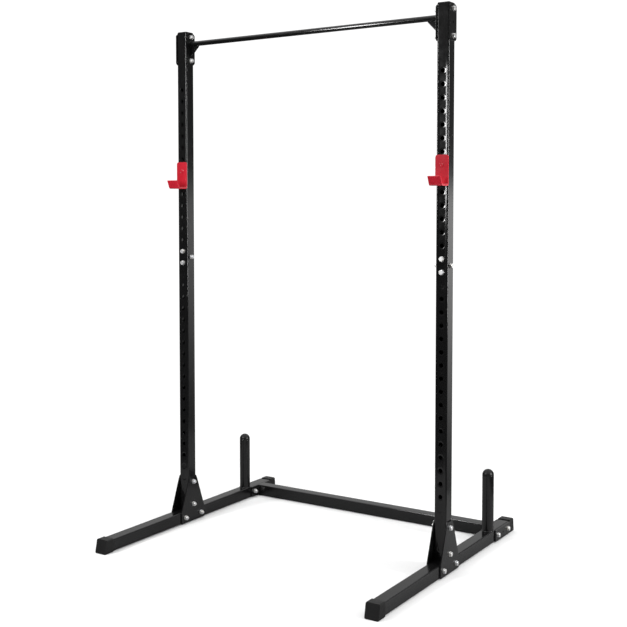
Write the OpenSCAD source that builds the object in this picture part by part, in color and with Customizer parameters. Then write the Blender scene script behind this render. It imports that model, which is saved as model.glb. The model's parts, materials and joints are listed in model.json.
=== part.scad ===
// Free-standing squat rack: two uprights on base rails, a pull-up bar, two J-hooks
// that pull out of the hole rows, and two storage posts for weight plates.
// +Z is up and the rack faces -Y. The origin is on the floor, at the centre of the footprint.

/* [Overall] */
// Height from the floor to the top of the upright caps
overall_h = 2150; // [2080:10:2300]
// Distance between the two uprights' centre lines
upright_span = 1250; // [1100:10:1250]
// Depth over the foot caps, front to back
overall_d = 1190; // [1000:10:1400]
// Distance from the front of the foot caps to the uprights' centre line
upright_setback = 550; // [480:10:620]
// Distance from the crossmember's centre line to the back of the foot caps
crossmember_inset = 122; // [120:1:160]
// Distance from the plate posts forward to the crossmember's centre line
post_gap = 93; // [80:1:200]

/* [Square tube] */
// Outer width of the square tube
tube_w = 50; // [48:1:52]
// Wall of the square tube
tube_wall = 2; // [1.5:0.5:3]
// Outer corner radius of the square tube
tube_r = 5; // [3.5:0.5:6]
// Length of the lower upright tube, which stands on the rail
lower_tube_len = 1045; // [1040:1:1100]

/* [Hole rows] */
// Distance from hole to hole
hole_pitch = 50; // [48:1:51]
// Diameter of the hook holes
hole_d = 17; // [17:0.5:20]
// Hook holes in each upper tube
upper_hole_count = 14; // [8:1:14]
// Hook holes in each lower tube
lower_hole_count = 16; // [8:1:16]
// Height of the J-hook pins above the tube joint, in hole pitches
hook_step = 9; // [4:1:15]

/* [Pull-up bar] */
// Diameter of the pull-up bar
bar_d = 22; // [22:1:34]
// Wall of the pull-up bar
bar_wall = 3; // [2:0.5:5]
// Leg of the triangular gussets under the bar
bar_gusset_leg = 45; // [30:1:46]
// Width of the bar's end plates
bar_plate_w = 56; // [50:1:70]
// Height of the bar's end plates
bar_plate_h = 134; // [124:1:160]

/* [Feet] */
// Half of the gusset plates' width along the rail
gusset_half_w = 78; // [70:1:110]
// Height of the gusset plates' top edge above the floor
gusset_top = 203; // [195:1:230]
// Length of the crossmember's flange plates
flange_len = 156; // [130:1:156]
// Length of the front foot caps
front_cap_len = 47; // [40:1:60]
// Length of the rear foot caps
rear_cap_len = 42; // [36:1:42]

/* [Plate posts] */
// Diameter of the weight plate posts
post_d = 48; // [40:1:50]
// Height of the weight plate posts, without their caps
post_h = 230; // [150:5:400]
// Height of the domed post caps
post_cap_h = 27; // [20:1:35]

/* [J-hooks] */
// Width of the J-hooks
hook_w = 54; // [50:1:56]
// Thickness of the hooks' plate
hook_t = 5; // [4:0.5:6]
// Height of the hooks' back plate
hook_h = 116; // [105:1:150]
// Flat length of the hooks' floor between its two bends
hook_floor = 39; // [32:1:60]
// Length of the hooks' front lip above its bend
hook_lip = 31; // [20:1:50]
// Forward lean of the front lip in degrees
hook_lean = 23; // [5:1:35]
// Diameter of the hook pins
hook_pin_d = 16; // [12:0.5:16]

/* [Hidden] */
$fn = 48;

LEFT = -1;
RIGHT = 1;
SIDES = [LEFT, RIGHT];

coat_black = [0.06, 0.06, 0.065];
coat_red = [0.72, 0.03, 0.09];
plastic_black = [0.03, 0.03, 0.03];
zinc = [0.78, 0.79, 0.8];

// Heights
cap_wall = 3;                       // rubber under the rails
rail_z = cap_wall + tube_w / 2;     // centre line of the rails and the crossmember
rail_top = cap_wall + tube_w;
seam_z = rail_top + lower_tube_len; // joint between the two tubes of an upright
cap_flange = 4;                     // flange of the plug on top of an upright
tube_top = overall_h - cap_flange;
seam_gap_holes = 2;                 // the two hole places above the joint hold bolts

// Places along Y
front_y = -overall_d / 2;
rear_y = overall_d / 2;
upright_y = front_y + upright_setback;
crossmember_y = rear_y - crossmember_inset;
post_y = crossmember_y - post_gap;

// Plates and their bolts
plate_t = 5;
bolt_d = 10;
bolt_hole_d = 11;
foot_bolt_spread = 53;              // bolts on the rail, each side of the plate's centre
foot_bolt_rise = [50, 150];         // bolts in the upright, above the rail's centre line
bar_plate_z = tube_top - 70;        // centre of the bar's end plates
bar_bolt_spread = 50;
bar_rise = 22;                      // the bar sits above the centre of its end plates
bar_z = bar_plate_z + bar_rise;
mark_hole_d = 8;                    // plain hole in the middle of each backing plate
inner_span = upright_span / 2 - tube_w / 2;

// Splice between the two tubes of an upright
sleeve_up = 140;
sleeve_down = 120;
sleeve_wall = 2.5;
sleeve_w = tube_w - 2 * tube_wall - 0.2;

// J-hooks
hook_gap = 0.3;                     // free play between a hook and its upright
hook_bend_r = 10;
hook_pin_rise = 77;                 // pin above the hook's underside
hook_pin_past = 10;                 // pin past the back of the upright
hook_z = seam_z + hook_step * hole_pitch;

// A square with round corners, made of plain squares and circles so that it stays exact
module rounded_square(size, r) {
    square([size.x - 2 * r, size.y], center = true);
    square([size.x, size.y - 2 * r], center = true);
    for (sx = [-1, 1], sy = [-1, 1])
        translate([sx * (size.x / 2 - r), sy * (size.y / 2 - r)]) circle(r);
}

// Square tube along +Z from the origin
module square_tube(len, w = tube_w, wall = tube_wall, r = tube_r) {
    inner = w - 2 * wall;
    difference() {
        linear_extrude(len) rounded_square([w, w], r);
        translate([0, 0, -1]) linear_extrude(len + 2) rounded_square([inner, inner], r - wall);
    }
}

// Cylinders through a tube, centred on the origin
module drill_x(d, len = 2 * tube_w) rotate([0, 90, 0]) cylinder(h = len, d = d, center = true);
module drill_y(d, len = 2 * tube_w) rotate([90, 0, 0]) cylinder(h = len, d = d, center = true);

// A flat plate across X: its outline is drawn in Y (first) and Z (second)
module plate_across_x(t = plate_t) rotate([90, 0, 90]) linear_extrude(t, center = true) children();

// Repeats a child at the centre of the outer (+1) or inner (-1) plate of one side
module at_plate(side, face)
    translate([side * (upright_span + face * (tube_w + plate_t)) / 2, 0, 0]) children();

// ---- Base -------------------------------------------------------------------------

front_wall = 16;                    // solid nose of a front foot cap
rear_wall = 10;
front_slant = 11;                   // how far the nose leans back to its top
rear_slant = 5;
cap_clearance = 0.3;

module base_rail(side) color(coat_black)
    difference() {
        translate([side * upright_span / 2, front_y + front_wall, rail_z]) rotate([-90, 0, 0])
            square_tube(overall_d - front_wall - rear_wall);
        for (y = [upright_y, crossmember_y], s = [-1, 1])
            translate([side * upright_span / 2, y + s * foot_bolt_spread, rail_z]) drill_x(bolt_hole_d);
    }

// Rubber boot over a rail's end. Its nose is at the origin's plane and it opens towards +Y.
module foot_cap(len, nose, slant) {
    outer_w = tube_w + 2 * (cap_wall + cap_clearance);
    outer_h = tube_w + 2 * cap_wall + cap_clearance;
    inner_w = tube_w + 2 * cap_clearance;
    difference() {
        intersection() {
            translate([0, len, outer_h / 2]) rotate([90, 0, 0])
                linear_extrude(len) rounded_square([outer_w, outer_h], tube_r + 1);
            rotate([90, 0, 90]) linear_extrude(2 * outer_w, center = true)
                polygon([[0, 0], [len, 0], [len, outer_h], [slant, outer_h]]);
        }
        translate([-inner_w / 2, nose, cap_wall]) cube([inner_w, len, tube_w + cap_clearance]);
    }
}

module front_foot_cap(side) color(plastic_black)
    translate([side * upright_span / 2, front_y, 0]) foot_cap(front_cap_len, front_wall, front_slant);

module rear_foot_cap(side) color(plastic_black)
    translate([side * upright_span / 2, rear_y, 0]) mirror([0, 1, 0])
        foot_cap(rear_cap_len, rear_wall, rear_slant);

// Trapezoid plate that ties an upright to its rail
module foot_gusset_outline() {
    low = cap_wall + 1;
    knee = rail_top - 1;
    top_half_w = tube_w / 2 + 4;
    chamfer = 8;
    difference() {
        polygon([
            [-gusset_half_w, low], [gusset_half_w, low], [gusset_half_w, knee],
            [top_half_w, gusset_top - 2 * chamfer], [top_half_w - chamfer, gusset_top],
            [chamfer - top_half_w, gusset_top], [-top_half_w, gusset_top - 2 * chamfer],
            [-gusset_half_w, knee]
        ]);
        for (rise = foot_bolt_rise) translate([0, rail_z + rise]) circle(d = bolt_hole_d);
        for (s = [-1, 1]) translate([s * foot_bolt_spread, rail_z]) circle(d = bolt_hole_d);
    }
}

module foot_gusset(side, face) color(coat_black)
    at_plate(side, face) translate([0, upright_y, 0]) plate_across_x() foot_gusset_outline();

module rear_crossmember() color(coat_black)
    translate([-inner_span + plate_t, crossmember_y, rail_z]) rotate([0, 90, 0])
        square_tube(2 * (inner_span - plate_t));

// Flange and backing plates of the crossmember share an outline
module crossmember_plate_outline(mark) {
    difference() {
        rounded_square([flange_len, tube_w - 2], 3);
        for (s = [-1, 1]) translate([s * foot_bolt_spread, 0]) circle(d = bolt_hole_d);
        if (mark) circle(d = mark_hole_d);
    }
}

module crossmember_plate(side, face) color(coat_black)
    at_plate(side, face) translate([0, crossmember_y, rail_z]) plate_across_x()
        crossmember_plate_outline(mark = face > 0);

// ---- Uprights ---------------------------------------------------------------------

module at_upright(side, z) translate([side * upright_span / 2, upright_y, z]) children();

module lower_upright(side) color(coat_black)
    difference() {
        at_upright(side, rail_top) square_tube(lower_tube_len);
        for (i = [1 : lower_hole_count]) at_upright(side, seam_z - i * hole_pitch) drill_y(hole_d);
        for (rise = foot_bolt_rise) at_upright(side, rail_z + rise) drill_x(bolt_hole_d);
    }

// Heights of the bolts that hold the splice, in hole pitches above the joint
front_splice_steps = [1, 2];
side_splice_step = 1.5;

module splice_drills(side) {
    for (i = front_splice_steps) at_upright(side, seam_z + i * hole_pitch) drill_y(bolt_hole_d);
    at_upright(side, seam_z + side_splice_step * hole_pitch) drill_x(bolt_hole_d);
}

module upper_upright(side) color(coat_black)
    difference() {
        at_upright(side, seam_z) square_tube(tube_top - seam_z);
        for (i = [1 : upper_hole_count])
            at_upright(side, seam_z + (i + seam_gap_holes) * hole_pitch) drill_y(hole_d);
        for (s = [-1, 1]) at_upright(side, bar_plate_z + s * bar_bolt_spread) drill_x(bolt_hole_d);
        splice_drills(side);
    }

// Inner tube that bridges the joint. Hook holes run through its lower half.
module splice_sleeve(side) color(coat_black)
    difference() {
        at_upright(side, seam_z - sleeve_down)
            square_tube(sleeve_up + sleeve_down, sleeve_w, sleeve_wall, sleeve_wall + 0.5);
        splice_drills(side);
        for (i = [1, 2]) at_upright(side, seam_z - i * hole_pitch) drill_y(hole_d);
    }

module upright_cap(side) color(plastic_black) {
    plug_w = tube_w - 2 * tube_wall - 0.4;
    plug_depth = 12;                // ends above the upper bar bolt
    edge = 1.5;
    at_upright(side, tube_top) {
        linear_extrude(cap_flange - edge) rounded_square([tube_w, tube_w], tube_r);
        linear_extrude(cap_flange)
            rounded_square([tube_w - 2 * edge, tube_w - 2 * edge], tube_r - edge);
        translate([0, 0, -plug_depth]) square_tube(plug_depth, plug_w, 3, 3.5);
    }
}

// ---- Pull-up bar --------------------------------------------------------------------

module bar_plate_outline(mark) {
    chamfer = 8;
    w = bar_plate_w / 2;
    h = bar_plate_h / 2;
    difference() {
        polygon([
            [-w, chamfer - h], [chamfer - w, -h], [w - chamfer, -h], [w, chamfer - h],
            [w, h - chamfer], [w - chamfer, h], [chamfer - w, h], [-w, h - chamfer]
        ]);
        for (s = [-1, 1]) translate([0, s * bar_bolt_spread]) circle(d = bolt_hole_d);
        if (mark) circle(d = mark_hole_d);
    }
}

module bar_plate(side, face) color(coat_black)
    at_plate(side, face) translate([0, upright_y, bar_plate_z]) plate_across_x()
        bar_plate_outline(mark = face > 0);

module pull_up_bar() color(coat_black)
    translate([0, upright_y, bar_z]) rotate([0, 90, 0]) difference() {
        cylinder(h = 2 * (inner_span - plate_t), d = bar_d, center = true);
        cylinder(h = 2 * inner_span, d = bar_d - 2 * bar_wall, center = true);
    }

// Triangle between the bar's underside and its end plate, with blunt tips
module bar_gusset(side) color(coat_black) {
    tip = 3;
    overlap = 1;                    // reaches up beside the bar's curve, which is then cut out
    difference() {
        translate([side * (inner_span - plate_t), upright_y, bar_z - bar_d / 2])
            mirror([side > 0 ? 1 : 0, 0, 0]) rotate([90, 0, 0]) linear_extrude(plate_t, center = true)
                polygon([
                    [0, overlap], [bar_gusset_leg, overlap], [bar_gusset_leg, -tip],
                    [tip, -bar_gusset_leg], [0, -bar_gusset_leg]
                ]);
        translate([0, upright_y, bar_z]) drill_x(bar_d, upright_span);
    }
}

// ---- Weight plate posts ---------------------------------------------------------------

post_wall = 2.5;

module at_post(side, z) translate([side * upright_span / 2, post_y, z]) children();

module weight_post(side) color(coat_black)
    at_post(side, rail_top) difference() {
        cylinder(h = post_h, d = post_d);
        translate([0, 0, -1]) cylinder(h = post_h + 2, d = post_d - 2 * post_wall);
    }

// Domed cap with a ring that plugs into the post
module post_cap(side) color(plastic_black) {
    skirt = 4;
    plug_r = post_d / 2 - post_wall - 0.2;
    dome_h = post_cap_h - skirt;
    dome_r = (pow(post_d / 2, 2) + pow(dome_h, 2)) / (2 * dome_h);
    at_post(side, rail_top + post_h) {
        cylinder(h = skirt, d = post_d);
        intersection() {
            translate([0, 0, post_cap_h - dome_r]) sphere(dome_r);
            translate([0, 0, skirt]) cylinder(h = dome_h, d = post_d);
        }
        translate([0, 0, -18]) difference() {
            cylinder(h = 18, r = plug_r);
            translate([0, 0, -1]) cylinder(h = 18, r = plug_r - 3);
        }
    }
}

// ---- J-hooks --------------------------------------------------------------------------

// Bent strip below the back plate, seen from the side: forward is +X, up is +Y.
// The lip is set back a hair, so that it crosses the curves of its bend and doesn't only touch them.
module hook_profile() {
    big = 4 * hook_bend_r;
    inner_r = hook_bend_r - hook_t;
    lip_x = inner_r - 0.02;
    overlap = 0.5;
    rear_bend = [hook_bend_r, hook_bend_r];
    front_bend = [hook_bend_r + hook_floor, hook_bend_r];
    difference() {
        union() {
            translate(rear_bend) circle(hook_bend_r);
            translate([hook_bend_r, 0]) square([hook_floor, hook_bend_r]);
            translate(front_bend) circle(hook_bend_r);
        }
        translate(rear_bend) circle(inner_r);
        translate([-big, hook_bend_r]) square([big + hook_bend_r, big]);
        translate([hook_bend_r, hook_t]) square([hook_floor, big]);
        translate(front_bend) circle(inner_r);
        translate(front_bend) rotate(-hook_lean) {
            translate([-big, 0]) square([big + lip_x, big]);
            translate([0, 2 * overlap]) square(big);
        }
    }
    translate(front_bend) rotate(-hook_lean)
        translate([lip_x, -overlap]) square([hook_t, hook_lip + overlap]);
}

// Back plate seen from the front, with rounded upper corners
module hook_plate_outline() {
    corner_r = 9;
    straight_h = hook_h - hook_bend_r - corner_r;
    translate([-hook_w / 2, hook_bend_r]) square([hook_w, straight_h]);
    translate([corner_r - hook_w / 2, hook_bend_r])
        square([hook_w - 2 * corner_r, straight_h + corner_r]);
    for (s = [-1, 1])
        translate([s * (hook_w / 2 - corner_r), hook_h - corner_r]) circle(corner_r);
}

// A hook's own origin: on the back of its plate, at the underside
module at_hook(side) {
    back_y = upright_y - tube_w / 2 - hook_gap;
    translate([side * upright_span / 2, back_y, hook_z - hook_pin_rise]) children();
}

module j_hook(side) color(coat_red)
    at_hook(side) difference() {
        union() {
            rotate([90, 0, 0]) linear_extrude(hook_t) hook_plate_outline();
            mirror([0, 1, 0]) rotate([90, 0, 90]) linear_extrude(hook_w, center = true) hook_profile();
        }
        translate([0, 0, hook_pin_rise]) drill_y(hook_pin_d + 0.2);
    }

// Pin with a low head in front of the hook's plate and a tapered tail
module j_hook_pin(side) color(coat_red) {
    head = 1.5;
    taper = 2;
    shank = hook_t + hook_gap + tube_w + hook_pin_past - taper;
    at_hook(side) translate([0, -hook_t, hook_pin_rise]) rotate([-90, 0, 0]) {
        translate([0, 0, -head]) cylinder(h = head, d1 = hook_pin_d - 2 * head, d2 = hook_pin_d);
        cylinder(h = shank, d = hook_pin_d);
        translate([0, 0, shank]) cylinder(h = taper, d1 = hook_pin_d, d2 = hook_pin_d - 2 * taper);
    }
}

// ---- Fasteners ------------------------------------------------------------------------

washer_t = 2;
washer_d = 20;
head_h = 6.4;
head_flats = 17;
nut_h = 8;
collar_h = 2;                       // round nylon collar of a lock nut
thread_past = 3;

// Hexagon with its outer corners turned off, from the origin along +Z
module hex(h, flats) intersection() {
    cylinder(h = h, d = flats / cos(30), $fn = 6);
    union() {
        cylinder(h = h - 1.5, d = flats / cos(30) + 1);
        translate([0, 0, h - 1.5]) cylinder(h = 1.5, d1 = flats / cos(30), d2 = flats - 1);
    }
}

// Half the thickness that each kind of bolt clamps
plate_grip = tube_w / 2 + plate_t;
splice_grip = tube_w / 2;

// A fastener's parts, centred on what it clamps, with the bolt's head towards +Z
module bolt(grip) {
    seat = grip + washer_t;
    shank = 2 * seat + nut_h + collar_h + thread_past;
    translate([0, 0, seat]) hex(head_h, head_flats);
    translate([0, 0, seat - shank]) cylinder(h = shank, d = bolt_d);
}

module lock_nut(grip) translate([0, 0, -grip - washer_t]) mirror([0, 0, 1]) difference() {
    union() {
        hex(nut_h, head_flats);
        cylinder(h = nut_h + collar_h, d = head_flats - 3);
    }
    translate([0, 0, -1]) cylinder(h = nut_h + collar_h + 2, d = bolt_d + 0.3);
}

module washers(grip) for (m = [0, 1]) mirror([0, 0, m]) translate([0, 0, grip]) difference() {
    cylinder(h = washer_t, d = washer_d);
    translate([0, 0, -1]) cylinder(h = washer_t + 2, d = bolt_hole_d);
}

// Turns +Z outwards on one side of the rack, at a height and a distance along Y
module facing_out(side, y, z)
    translate([side * upright_span / 2, y, z]) rotate([0, side * 90, 0]) children();

module at_bar_bolts() for (side = SIDES, s = [-1, 1])
    facing_out(side, upright_y, bar_plate_z + s * bar_bolt_spread) children();
module at_foot_bolts() for (side = SIDES) {
    for (rise = foot_bolt_rise) facing_out(side, upright_y, rail_z + rise) children();
    for (s = [-1, 1]) facing_out(side, upright_y + s * foot_bolt_spread, rail_z) children();
}
module at_crossmember_bolts() for (side = SIDES, s = [-1, 1])
    facing_out(side, crossmember_y + s * foot_bolt_spread, rail_z) children();
// Splice bolts: two from the front and one from the outside of each upright
module at_splice_bolts() for (side = SIDES) {
    for (i = front_splice_steps) at_upright(side, seam_z + i * hole_pitch) rotate([90, 0, 0]) children();
    facing_out(side, upright_y, seam_z + side_splice_step * hole_pitch) children();
}

module bar_bolts() color(zinc) at_bar_bolts() bolt(plate_grip);
module bar_nuts() color(zinc) at_bar_bolts() lock_nut(plate_grip);
module bar_washers() color(zinc) at_bar_bolts() washers(plate_grip);
module foot_bolts() color(zinc) at_foot_bolts() bolt(plate_grip);
module foot_nuts() color(zinc) at_foot_bolts() lock_nut(plate_grip);
module foot_washers() color(zinc) at_foot_bolts() washers(plate_grip);
module crossmember_bolts() color(zinc) at_crossmember_bolts() bolt(plate_grip);
module crossmember_nuts() color(zinc) at_crossmember_bolts() lock_nut(plate_grip);
module crossmember_washers() color(zinc) at_crossmember_bolts() washers(plate_grip);
module splice_bolts() color(zinc) at_splice_bolts() bolt(splice_grip);
module splice_nuts() color(zinc) at_splice_bolts() lock_nut(splice_grip);
module splice_washers() color(zinc) at_splice_bolts() washers(splice_grip);

// ---- Nodes ----------------------------------------------------------------------------

base_rail(LEFT);  // base_rail_left
base_rail(RIGHT);  // base_rail_right
front_foot_cap(LEFT);  // front_foot_cap_left
front_foot_cap(RIGHT);  // front_foot_cap_right
rear_foot_cap(LEFT);  // rear_foot_cap_left
rear_foot_cap(RIGHT);  // rear_foot_cap_right
lower_upright(LEFT);  // lower_upright_left
lower_upright(RIGHT);  // lower_upright_right
upper_upright(LEFT);  // upper_upright_left
upper_upright(RIGHT);  // upper_upright_right
splice_sleeve(LEFT);  // splice_sleeve_left
splice_sleeve(RIGHT);  // splice_sleeve_right
upright_cap(LEFT);  // upright_cap_left
upright_cap(RIGHT);  // upright_cap_right
foot_gusset(LEFT, 1);  // foot_gusset_outer_left
foot_gusset(RIGHT, 1);  // foot_gusset_outer_right
foot_gusset(LEFT, -1);  // foot_gusset_inner_left
foot_gusset(RIGHT, -1);  // foot_gusset_inner_right
rear_crossmember();
crossmember_plate(LEFT, -1);  // crossmember_flange_left
crossmember_plate(RIGHT, -1);  // crossmember_flange_right
crossmember_plate(LEFT, 1);  // crossmember_backing_left
crossmember_plate(RIGHT, 1);  // crossmember_backing_right
weight_post(LEFT);  // weight_post_left
weight_post(RIGHT);  // weight_post_right
post_cap(LEFT);  // post_cap_left
post_cap(RIGHT);  // post_cap_right
pull_up_bar();
bar_plate(LEFT, -1);  // bar_end_plate_left
bar_plate(RIGHT, -1);  // bar_end_plate_right
bar_gusset(LEFT);  // bar_gusset_left
bar_gusset(RIGHT);  // bar_gusset_right
bar_plate(LEFT, 1);  // bar_backing_left
bar_plate(RIGHT, 1);  // bar_backing_right
j_hook(LEFT);  // j_hook_left
j_hook(RIGHT);  // j_hook_right
j_hook_pin(LEFT);  // j_hook_pin_left
j_hook_pin(RIGHT);  // j_hook_pin_right
bar_bolts();
bar_nuts();
bar_washers();
foot_bolts();
foot_nuts();
foot_washers();
crossmember_bolts();
crossmember_nuts();
crossmember_washers();
splice_bolts();
splice_nuts();
splice_washers();
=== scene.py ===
import json
import math
import bmesh
import bpy
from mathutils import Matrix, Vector


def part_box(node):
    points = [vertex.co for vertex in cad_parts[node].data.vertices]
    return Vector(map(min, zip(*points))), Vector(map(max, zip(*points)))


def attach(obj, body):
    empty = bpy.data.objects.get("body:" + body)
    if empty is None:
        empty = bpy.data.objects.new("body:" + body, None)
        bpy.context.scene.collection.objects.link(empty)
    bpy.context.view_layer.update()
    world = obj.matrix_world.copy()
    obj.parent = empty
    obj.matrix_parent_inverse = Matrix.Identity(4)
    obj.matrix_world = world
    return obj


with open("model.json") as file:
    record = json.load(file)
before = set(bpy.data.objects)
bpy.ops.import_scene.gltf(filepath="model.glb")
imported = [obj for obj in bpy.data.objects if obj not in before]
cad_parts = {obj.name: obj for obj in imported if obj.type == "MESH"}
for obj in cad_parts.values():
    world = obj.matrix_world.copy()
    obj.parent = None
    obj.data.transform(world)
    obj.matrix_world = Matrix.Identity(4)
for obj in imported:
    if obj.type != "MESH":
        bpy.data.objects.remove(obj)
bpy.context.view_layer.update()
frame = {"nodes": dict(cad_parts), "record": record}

NODES = frame["nodes"]
MM = 0.001


# ---- Places taken from the frame --------------------------------------------------------

MOUNTS = {mount["name"]: mount for mount in frame["record"]["mounts"]}
HOLE = MOUNTS["hole_high_right"]
ROW_X, _, ROW_Z = HOLE["pos_m"]
HOLE_RADIUS = HOLE["dims"]["r_mm"] * MM
HOLE_PITCH = 50 * MM
ROWS_TOP = 1.91         # just above the highest hole of a row; from here the drawn-in metal fades out
ROWS_FADE = 40 * MM


# ---- Materials ------------------------------------------------------------------------

class Surface:
    """A Principled material with short calls for the nodes that its detail needs."""

    def __init__(self, name, roughness=0.5, metallic=0.0, ior=1.5):
        self.material = bpy.data.materials.new(name)
        self.material.use_nodes = True
        self.tree = self.material.node_tree
        self.shader = self.tree.nodes["Principled BSDF"]
        self.shader.inputs["Roughness"].default_value = roughness
        self.shader.inputs["Metallic"].default_value = metallic
        self.shader.inputs["IOR"].default_value = ior
        self.place = self.tree.nodes.new("ShaderNodeTexCoord").outputs["Object"]

    def link(self, source, target):
        self.tree.links.new(source, target)

    def noise(self, scale, detail=2.0, roughness=0.5, place=None):
        """Noise with about that many bumps to the metre."""
        node = self.tree.nodes.new("ShaderNodeTexNoise")
        node.inputs["Scale"].default_value = scale
        node.inputs["Detail"].default_value = detail
        node.inputs["Roughness"].default_value = roughness
        self.link(place or self.place, node.inputs["Vector"])
        return node.outputs["Fac"]

    def spots(self, scale):
        node = self.tree.nodes.new("ShaderNodeTexVoronoi")
        node.inputs["Scale"].default_value = scale
        self.link(self.place, node.inputs["Vector"])
        return node.outputs["Distance"]

    def spread(self, value, low, high, from_low=0.3, from_high=0.7):
        """A value taken from one range to another, and held inside it."""
        node = self.tree.nodes.new("ShaderNodeMapRange")
        node.inputs["From Min"].default_value = from_low
        node.inputs["From Max"].default_value = from_high
        node.inputs["To Min"].default_value = low
        node.inputs["To Max"].default_value = high
        self.link(value, node.inputs["Value"])
        return node.outputs["Result"]

    def math(self, operation, a, b):
        node = self.tree.nodes.new("ShaderNodeMath")
        node.operation = operation
        for socket, value in zip(node.inputs, (a, b)):
            if isinstance(value, (int, float)):
                socket.default_value = value
            else:
                self.link(value, socket)
        return node.outputs["Value"]

    def mix(self, share, a, b):
        """Colour a where share is 0 and colour b where it is 1."""
        node = self.tree.nodes.new("ShaderNodeMix")
        node.data_type = "RGBA"
        self.link(share, node.inputs["Factor"])
        for socket, value in ((node.inputs[6], a), (node.inputs[7], b)):
            if isinstance(value, tuple):
                socket.default_value = (*value, 1.0)
            else:
                self.link(value, socket)
        return node.outputs[2]

    def edges(self, radius):
        """1 along the outer edges, falling to 0 on the flats."""
        bevel = self.tree.nodes.new("ShaderNodeBevel")
        bevel.samples = 6
        bevel.inputs["Radius"].default_value = radius
        flat = self.tree.nodes.new("ShaderNodeNewGeometry").outputs["Normal"]
        facing = self.tree.nodes.new("ShaderNodeVectorMath")
        facing.operation = "DOT_PRODUCT"
        self.link(bevel.outputs["Normal"], facing.inputs[0])
        self.link(flat, facing.inputs[1])
        return self.spread(facing.outputs["Value"], 1.0, 0.0, 0.75, 0.99)

    def upward(self):
        """1 on faces that look up, 0 on all others."""
        split = self.tree.nodes.new("ShaderNodeSeparateXYZ")
        normal = self.tree.nodes.new("ShaderNodeNewGeometry").outputs["Normal"]
        self.link(normal, split.inputs["Vector"])
        return self.spread(split.outputs["Z"], 0.0, 1.0, 0.6, 1.0)

    def bump(self, heights):
        """Stacks bumps: each is a height, its depth in metres and its strength."""
        last = None
        for height, depth, strength in heights:
            node = self.tree.nodes.new("ShaderNodeBump")
            node.inputs["Distance"].default_value = depth
            node.inputs["Strength"].default_value = strength
            self.link(height, node.inputs["Height"])
            if last:
                self.link(last, node.inputs["Normal"])
            last = node.outputs["Normal"]
        self.link(last, self.shader.inputs["Normal"])

    def colour(self, value):
        self.link(value, self.shader.inputs["Base Color"])

    def rough(self, value):
        self.link(value, self.shader.inputs["Roughness"])


PEEL_DEPTH = 0.03 * MM
GRAIN_DEPTH = 0.006 * MM
EDGE_WEAR_AND_HIGHLIGHT_WIDTH = 1.6 * MM
DUST = (0.35, 0.34, 0.32)


def powder_coat(name, deep, full, thin_paint_and_highlight, smooth, dull, dust, dents=False):
    """Baked powder paint: orange peel, cloudy gloss, paler edges, faint dust. The paler edges are worn thin
    paint; on the red coat their pink is a painted edge highlight.
    """
    s = Surface(name)
    cloud = s.noise(9, 3)
    peel = s.noise(420, 1.5)
    grain = s.noise(2600, 1)
    body = s.mix(s.spread(cloud, 0, 1), deep, full)
    # Paler edges: worn thin paint, and on the red coat a painted pink edge highlight.
    edge_wear_and_highlight = s.math("MULTIPLY", s.edges(EDGE_WEAR_AND_HIGHLIGHT_WIDTH), s.spread(s.noise(60, 4), 0.15, 0.75, 0.35, 0.65))
    painted = s.mix(edge_wear_and_highlight, body, thin_paint_and_highlight)
    settled = s.math("MULTIPLY", s.upward(), s.spread(s.noise(35, 5, 0.6), 0.0, dust, 0.4, 0.75))
    s.colour(s.mix(settled, painted, DUST))
    gloss = s.spread(s.noise(26, 4, 0.6), smooth, dull)
    s.rough(s.math("ADD", gloss, s.math("MULTIPLY", settled, 0.6)))
    relief = [(peel, PEEL_DEPTH, 0.5), (grain, GRAIN_DEPTH, 0.4)]
    if dents:
        relief.insert(0, (punched_rows(s), 1.0, 1.0))
    s.bump(relief)
    return s.material


ROW_DRAWN_IN = 0.55 * MM
DISH_DRAWN_IN = 0.36 * MM
DISH_WIDTH = 6 * MM
ROW_FLAT, ROW_EDGE = 10 * MM, 22 * MM


def punched_rows(s):
    """Height of an upright's face: punching drew it in a little, along the row and round each hole."""
    split = s.tree.nodes.new("ShaderNodeSeparateXYZ")
    s.link(s.place, split.inputs["Vector"])
    across = s.math("ABSOLUTE", s.math("SUBTRACT", s.math("ABSOLUTE", split.outputs["X"], 0), ROW_X), 0)
    steps = s.math("DIVIDE", s.math("SUBTRACT", split.outputs["Z"], ROW_Z), HOLE_PITCH)
    along = s.math("MULTIPLY", s.math("SUBTRACT", steps, s.math("ROUND", steps, 0)), HOLE_PITCH)
    away = s.math("SQRT", s.math("ADD", s.math("POWER", across, 2), s.math("MULTIPLY", along, along)), 0)
    row = s.spread(across, -ROW_DRAWN_IN, 0.0, ROW_FLAT, ROW_EDGE)
    dish = s.spread(away, -DISH_DRAWN_IN, 0.0, HOLE_RADIUS, HOLE_RADIUS + DISH_WIDTH)
    for part in (row, dish):
        part.node.interpolation_type = "SMOOTHSTEP"
    rows_end = s.spread(split.outputs["Z"], 1.0, 0.0, ROWS_TOP, ROWS_TOP + ROWS_FADE)
    return s.math("MULTIPLY", s.math("ADD", row, dish), rows_end)


BLACK_COAT = {
    "deep": (0.004, 0.004, 0.0042),
    "full": (0.006, 0.006, 0.0062),
    "thin_paint_and_highlight": (0.02, 0.02, 0.021),
    "smooth": 0.1,
    "dull": 0.16,
    "dust": 0.01,
}
RED_COAT = {
    "deep": (0.56, 0.016, 0.032),
    "full": (0.7, 0.026, 0.048),
    # Pale pink edge colour: a painted edge highlight on the red coat.
    "thin_paint_and_highlight": (0.86, 0.26, 0.3),
    "smooth": 0.1,
    "dull": 0.16,
    "dust": 0.015,
}


def black_powder_coat():
    return powder_coat("black_powder_coat", **BLACK_COAT)


def punched_powder_coat():
    return powder_coat("black_powder_coat_punched", dents=True, **BLACK_COAT)


def red_powder_coat():
    return powder_coat("red_powder_coat", **RED_COAT)


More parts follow.
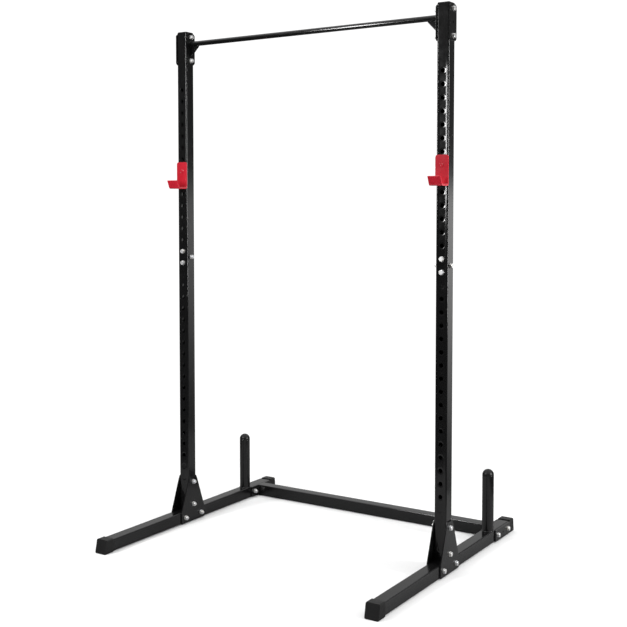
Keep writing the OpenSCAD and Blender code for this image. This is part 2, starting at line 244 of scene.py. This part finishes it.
def zinc_plate():
    """Bright zinc with a faint blue and straw tint, fine turning marks and handling smears."""
    s = Surface("zinc_plate", metallic=0.85)
    tint = s.mix(s.spread(s.noise(90, 3), 0, 1), (0.8, 0.82, 0.86), (0.9, 0.88, 0.83))
    pits = s.spread(s.spots(900), 0.8, 1.0, 0.05, 0.35)
    shade = s.tree.nodes.new("ShaderNodeVectorMath")
    shade.operation = "SCALE"
    s.link(tint, shade.inputs[0])
    s.link(pits, shade.inputs["Scale"])
    s.colour(shade.outputs["Vector"])
    s.rough(s.spread(s.noise(240, 4, 0.65), 0.28, 0.44))
    s.bump([(s.noise(1500, 2), 0.02 * MM, 0.5)])
    return s.material


def moulded(name, base, scuffed, smooth, dull, grain, depth):
    """Moulded plastic or rubber with an even fine grain and a few scuffs on its edges."""
    s = Surface(name)
    scuffs = s.math("MULTIPLY", s.edges(2.0 * MM), s.spread(s.noise(130, 5), 0.0, 0.8, 0.4, 0.7))
    s.shader.inputs["Specular IOR Level"].default_value = 0.25
    s.colour(s.mix(scuffs, s.mix(s.spread(s.noise(14, 3), 0, 1), base, scuffed), (0.03, 0.03, 0.03)))
    s.rough(s.spread(s.noise(45, 4, 0.6), smooth, dull))
    s.bump([(s.spots(grain), depth, 0.5), (s.noise(grain * 2.2, 2), depth / 2, 0.4)])
    return s.material


def black_plastic():
    return moulded("black_plastic", (0.005, 0.005, 0.005), (0.008, 0.008, 0.008), 0.26, 0.38, 950, 0.05 * MM)


def black_rubber():
    return moulded("black_rubber", (0.005, 0.005, 0.005), (0.009, 0.009, 0.0088), 0.42, 0.56, 700, 0.06 * MM)


MATERIALS = {
    "black_powder_coat": black_powder_coat(),
    "red_powder_coat": red_powder_coat(),
    "zinc_plate": zinc_plate(),
    "black_plastic": black_plastic(),
    "black_rubber": black_rubber(),
}
PUNCHED = punched_powder_coat()
SLOT_OF = {part["node"]: part["material_slot"] for part in frame["record"]["subparts"]}


def new_object(name, mesh):
    made = bpy.data.objects.new(name, mesh)
    bpy.context.scene.collection.objects.link(made)
    return made


# ---- CAD nodes ------------------------------------------------------------------------

EDGE_OF_SLOT = {
    "black_powder_coat": 0.7 * MM,
    "red_powder_coat": 1.1 * MM,
    "zinc_plate": 0.3 * MM,
    "black_plastic": 0.6 * MM,
    "black_rubber": 0.9 * MM,
}


def round_edges(node, width):
    """Small rounded edges on a CAD node, made by modifiers so that its own mesh stays."""
    weld = node.modifiers.new("weld", "WELD")
    weld.merge_threshold = 0.002 * MM
    flats = node.modifiers.new("flats", "DECIMATE")
    flats.decimate_type = "DISSOLVE"
    flats.angle_limit = math.radians(0.5)
    bevel = node.modifiers.new("edges", "BEVEL")
    bevel.width = width
    bevel.segments = 2
    bevel.limit_method = "ANGLE"
    bevel.angle_limit = math.radians(38)
    bevel.harden_normals = False
    bevel.miter_outer = "MITER_ARC"
    normals = node.modifiers.new("normals", "WEIGHTED_NORMAL")
    normals.keep_sharp = True
    for face in node.data.polygons:
        face.use_smooth = True


UPRIGHTS = ("upright_left", "upright_right")


def finish_nodes():
    for name, node in NODES.items():
        slot = SLOT_OF[name]
        node.data.materials.clear()
        node.data.materials.append(PUNCHED if name.endswith(UPRIGHTS) else MATERIALS[slot])
        round_edges(node, EDGE_OF_SLOT[slot])


finish_nodes()


# ---- Weld beads and threads -----------------------------------------------------------

STEP = 1.0 * MM             # distance between the points of a bead's path
RIPPLE = 3.0 * MM
BEAD_SIDES = 8
POST_BEAD = 2.0 * MM        # radii of the beads
CROSSMEMBER_BEAD = 2.2 * MM
BAR_BEAD = 1.8 * MM
GUSSET_BEAD = 1.4 * MM
PIN_BEAD = 1.0 * MM
CROSSMEMBER_INSET = 4 * MM  # a bead stops this far from the corner
GUSSET_INSET = 3 * MM
GUSSET_REACH = 0.94         # part of the gusset's leg that is welded under the bar
PIN_FACE = 1.5 * MM         # behind the front end of the pin
THREAD_PITCH = 0.9 * MM
THREAD_START = 0.6 * MM
THREAD_RING = 4.85 * MM
THREAD_CREST = 0.4 * MM
THREADS_SHOWN = 3


def centre(node):
    low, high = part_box(node)
    return (Vector(low) + Vector(high)) / 2


def ring(middle, axis_a, axis_b, radius):
    """Points round a circle in the plane of two axes."""
    count = round(2 * math.pi * radius / STEP)
    turns = [2 * math.pi * i / count for i in range(count)]
    return [middle + radius * (math.cos(t) * axis_a + math.sin(t) * axis_b) for t in turns]


def line(start, end):
    count = max(2, round((end - start).length / STEP))
    return [start.lerp(end, i / count) for i in range(count + 1)]


def add_bead(shape, path, radius, closed):
    """Sweeps a bead along a path. Its overlapping drops show as ripples."""
    rings = []
    travelled = 0.0
    last = len(path) - 1
    for i, point in enumerate(path):
        ahead = path[(i + 1) % len(path)] if closed or i < last else point
        behind = path[i - 1] if closed or i > 0 else point
        along = (ahead - behind).normalized()
        side = side - along * side.dot(along) if rings else along.orthogonal()
        side.normalize()
        up = along.cross(side)
        swell = 0.88 + 0.24 * abs(math.sin(math.pi * travelled / RIPPLE))
        if not closed:
            swell *= min(1.0, 0.35 + 0.65 * min(i, last - i) / 3)
        turns = [2 * math.pi * k / BEAD_SIDES for k in range(BEAD_SIDES)]
        offsets = [math.cos(t) * side + math.sin(t) * up for t in turns]
        rings.append([shape.verts.new(point + radius * swell * offset) for offset in offsets])
        travelled += (ahead - point).length
    for first, second in zip(rings, rings[1:]):
        for k in range(BEAD_SIDES):
            n = (k + 1) % BEAD_SIDES
            shape.faces.new((first[k], first[n], second[n], second[k]))
    if closed:
        join_ends(shape, rings[-1], rings[0])
    else:
        shape.faces.new(rings[0][::-1])
        shape.faces.new(rings[-1])


def join_ends(shape, last, first):
    """Closes a ring bead, starting from the vertex that lies nearest."""
    sides = len(first)
    shift = min(range(sides), key=lambda k: (first[k].co - last[0].co).length)
    for k in range(sides):
        a, b = (k + shift) % sides, (k + 1 + shift) % sides
        shape.faces.new((last[k], last[(k + 1) % sides], first[b], first[a]))


def make_piece(name, body, slot, beads):
    """One piece of several beads. Each is a path, a radius and whether it closes on itself."""
    shape = bmesh.new()
    for path, radius, closed in beads:
        add_bead(shape, path, radius, closed)
    bmesh.ops.recalc_face_normals(shape, faces=shape.faces)
    mesh = bpy.data.meshes.new(name)
    shape.to_mesh(mesh)
    shape.free()
    for face in mesh.polygons:
        face.use_smooth = True
    mesh.materials.append(MATERIALS[slot])
    piece = new_object(name, mesh)
    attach(piece, body)
    return piece


X, Y, Z = Vector((1, 0, 0)), Vector((0, 1, 0)), Vector((0, 0, 1))


def post_weld(side):
    low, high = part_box(f"weight_post_{side}")
    foot = centre(f"weight_post_{side}")
    foot.z = low[2]
    path = ring(foot, X, Y, (high[0] - low[0]) / 2)
    make_piece(f"post_weld_{side}", "rack", "black_powder_coat", [(path, POST_BEAD, True)])


def end_x(node, side):
    """The X of a node's end towards one side."""
    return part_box(node)[0 if side == "left" else 1][0]


def crossmember_welds(side):
    low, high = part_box("rear_crossmember")
    x = end_x("rear_crossmember", side)
    beads = []
    for y in (low[1], high[1]):
        bottom = Vector((x, y, low[2] + CROSSMEMBER_INSET))
        top = Vector((x, y, high[2] - CROSSMEMBER_INSET))
        beads.append((line(bottom, top), CROSSMEMBER_BEAD, False))
    make_piece(f"crossmember_welds_{side}", "rack", "black_powder_coat", beads)


def bar_welds(side):
    """Round the bar's end, and along both legs of the gusset on its two faces."""
    low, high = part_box("pull_up_bar")
    end = centre("pull_up_bar")
    end.x = end_x("pull_up_bar", side)
    beads = [(ring(end, Y, Z, (high[2] - low[2]) / 2), BAR_BEAD, True)]
    low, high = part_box(f"bar_gusset_{side}")
    plate_x = end_x(f"bar_gusset_{side}", side)
    tip_x = end_x(f"bar_gusset_{side}", "right" if side == "left" else "left")
    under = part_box("pull_up_bar")[0][2]
    inner = plate_x + (tip_x - plate_x) * GUSSET_REACH
    for y in (low[1], high[1]):
        corner = Vector((plate_x, y, under))
        bottom = Vector((plate_x, y, low[2] + GUSSET_INSET))
        beads.append((line(bottom, corner), GUSSET_BEAD, False))
        beads.append((line(corner, Vector((inner, y, under))), GUSSET_BEAD, False))
    make_piece(f"bar_welds_{side}", "rack", "black_powder_coat", beads)


def pin_weld(side):
    """The fillet between a hook's pin and the face of its plate."""
    low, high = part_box(f"j_hook_pin_{side}")
    face = centre(f"j_hook_pin_{side}")
    face.y = low[1] + PIN_FACE
    path = ring(face, X, Z, (high[0] - low[0]) / 2)
    make_piece(f"j_hook_pin_weld_{side}", f"hook_{side}", "red_powder_coat", [(path, PIN_BEAD, True)])


def islands(name):
    """The box of each separate solid in a node, in the order of their lowest corners."""
    shape = bmesh.new()
    shape.from_mesh(NODES[name].data)
    bmesh.ops.remove_doubles(shape, verts=shape.verts, dist=0.002 * MM)
    left = set(shape.verts)
    boxes = []
    while left:
        reached = [left.pop()]
        for vertex in reached:
            for edge in vertex.link_edges:
                other = edge.other_vert(vertex)
                if other in left:
                    left.remove(other)
                    reached.append(other)
        spans = [[v.co[i] for v in reached] for i in range(3)]
        boxes.append((Vector([min(span) for span in spans]), Vector([max(span) for span in spans])))
    shape.free()
    return sorted(boxes, key=lambda box: tuple(box[0]))


def thread_turns(low, high):
    """The thread crests on the end of a bolt that shows past its nut."""
    middle = (low + high) / 2
    if high.x - low.x > high.y - low.y:
        along, across = X * (-1 if middle.x > 0 else 1), (Y, Z)
        middle.x = low.x if middle.x > 0 else high.x
    else:
        along, across = Y, (X, Z)
        middle.y = high.y
    beads = []
    for i in range(THREADS_SHOWN):
        crest = middle - along * (THREAD_START + THREAD_PITCH * i)
        beads.append((ring(crest, *across, THREAD_RING), THREAD_CREST, True))
    return beads


def bolt_threads(name):
    beads = []
    for low, high in islands(f"{name}_bolts"):
        beads.extend(thread_turns(low, high))
    make_piece(f"{name}_bolt_threads", "rack", "zinc_plate", beads)


for side in ("left", "right"):
    post_weld(side)
    crossmember_welds(side)
    bar_welds(side)
    pin_weld(side)
for group in ("bar", "foot", "crossmember", "splice"):
    bolt_threads(group)


# ---- Floor, light and camera ------------------------------------------------------------

def studio_floor():
    """A plain pale round floor, which glossy rays see dark grey: a painted darker reflection of the floor.
    Past its edge the white backdrop takes over.
    """
    mesh = bpy.data.meshes.new("studio_floor")
    disc = bmesh.new()
    bmesh.ops.create_circle(disc, cap_ends=True, radius=1.5, segments=128)
    disc.to_mesh(mesh)
    disc.free()
    floor = new_object("studio_floor", mesh)
    s = Surface("studio_floor", roughness=0.8)
    pale = s.mix(s.spread(s.noise(0.6, 2), 0, 1), (0.88, 0.88, 0.88), (0.92, 0.92, 0.92))
    glossy = s.tree.nodes.new("ShaderNodeLightPath").outputs["Is Glossy Ray"]
    # Glossy rays see the floor dark grey: a painted darker reflection of the floor in the shiny parts.
    s.colour(s.mix(glossy, pale, (0.25, 0.25, 0.25)))
    s.bump([(s.noise(300, 2), 0.05 * MM, 0.3)])
    mesh.materials.append(s.material)


def softbox(name, place, aim, size, radiance):
    """A rectangular light. Its power follows from how bright its face is."""
    light = bpy.data.lights.new(name, "AREA")
    light.shape = "RECTANGLE"
    light.size, light.size_y = size
    light.energy = math.pi * size[0] * size[1] * radiance
    lamp = new_object(name, light)
    lamp.location = place
    lamp.rotation_euler = (Vector(aim) - Vector(place)).to_track_quat("-Z", "Y").to_euler()


def studio_light():
    softbox("key_softbox", (-1.32, -2.72, 2.05), (0, 0, 1.5), (0.32, 1.3), 40)
    softbox("side_softbox", (4.2, 0.4, 1.6), (0.6, 0, 1.3), (0.6, 2.0), 36)


class Sky:
    """World light by direction, as a sum of soft-edged regions."""

    def __init__(self, tree):
        self.tree = tree
        self.direction = tree.nodes.new("ShaderNodeTexCoord").outputs["Generated"]
        split = tree.nodes.new("ShaderNodeSeparateXYZ")
        tree.links.new(self.direction, split.inputs["Vector"])
        self.height = split.outputs["Z"]
        self.total = None

    def ramp(self, value, start, end, low=0.0, high=1.0):
        node = self.tree.nodes.new("ShaderNodeMapRange")
        node.interpolation_type = "SMOOTHSTEP"
        for name, number in (("From Min", start), ("From Max", end), ("To Min", low), ("To Max", high)):
            node.inputs[name].default_value = number
        self.tree.links.new(value, node.inputs["Value"])
        return node.outputs["Result"]

    def towards(self, heading, start, end):
        """1 near a heading, in degrees from +Y towards +X, falling to 0 away from it."""
        node = self.tree.nodes.new("ShaderNodeVectorMath")
        node.operation = "DOT_PRODUCT"
        self.tree.links.new(self.direction, node.inputs[0])
        angle = math.radians(heading)
        node.inputs[1].default_value = (math.sin(angle), math.cos(angle), 0)
        return self.ramp(node.outputs["Value"], math.cos(math.radians(start)), math.cos(math.radians(end)))

    def join(self, operation, a, b):
        node = self.tree.nodes.new("ShaderNodeMath")
        node.operation = operation
        for socket, value in zip(node.inputs, (a, b)):
            if isinstance(value, (int, float)):
                socket.default_value = value
            else:
                self.tree.links.new(value, socket)
        return node.outputs["Value"]

    def add(self, *factors):
        region = factors[0]
        for factor in factors[1:]:
            region = self.join("MULTIPLY", region, factor)
        self.total = region if self.total is None else self.join("ADD", self.total, region)


def studio_world():
    """Dim walls, a brighter wall behind, a low bright band behind to the right, and a pale ceiling."""
    world = bpy.data.worlds.new("studio")
    bpy.context.scene.world = world
    world.use_nodes = True
    tree = world.node_tree
    sky = Sky(tree)
    sky.add(sky.ramp(sky.height, -0.03, 0.08, 0.05, 0.11))
    sky.add(sky.ramp(sky.height, 0.38, 0.6, 0.0, 1.14))
    sky.add(sky.towards(-33, 45, 25), sky.ramp(sky.height, 0.2, 0.5, 0.45, 0.2))
    band = sky.ramp(sky.height, -0.27, 0.01, 0.15, 1.75)
    band_top = sky.ramp(sky.height, 0.032, 0.008)
    sky.add(sky.towards(25, 20, 11), band, band_top)
    sky.add(sky.towards(41, 20, 10), sky.ramp(sky.height, 0.02, -0.05, 0.0, 0.06))
    seen = tree.nodes.new("ShaderNodeMix")
    seen.data_type = "FLOAT"
    tree.links.new(tree.nodes.new("ShaderNodeLightPath").outputs["Is Camera Ray"], seen.inputs["Factor"])
    tree.links.new(sky.total, seen.inputs["A"])
    seen.inputs["B"].default_value = 1.1
    tree.links.new(seen.outputs["Result"], tree.nodes["Background"].inputs["Strength"])
    tree.nodes["Background"].inputs["Color"].default_value = (1.0, 1.0, 1.0, 1.0)


def photo_camera():
    """The view from the front right, at chest height, on a shifted lens so that it tilts only a little."""
    data = bpy.data.cameras.new("camera")
    camera = new_object("camera", data)
    place = Vector((2.3445, -3.6255, 1.3948))
    aim = Vector((0.0277, -0.0272, 1.1848))
    camera.location = place
    camera.rotation_euler = (aim - place).to_track_quat("-Z", "Y").to_euler()
    data.sensor_width = 36.0
    data.lens = 60.32
    data.shift_y = -0.0886
    data.clip_end = 200.0
    bpy.context.scene.camera = camera


studio_floor()
studio_light()
studio_world()
photo_camera()
bpy.context.scene.view_settings.view_transform = "Standard"
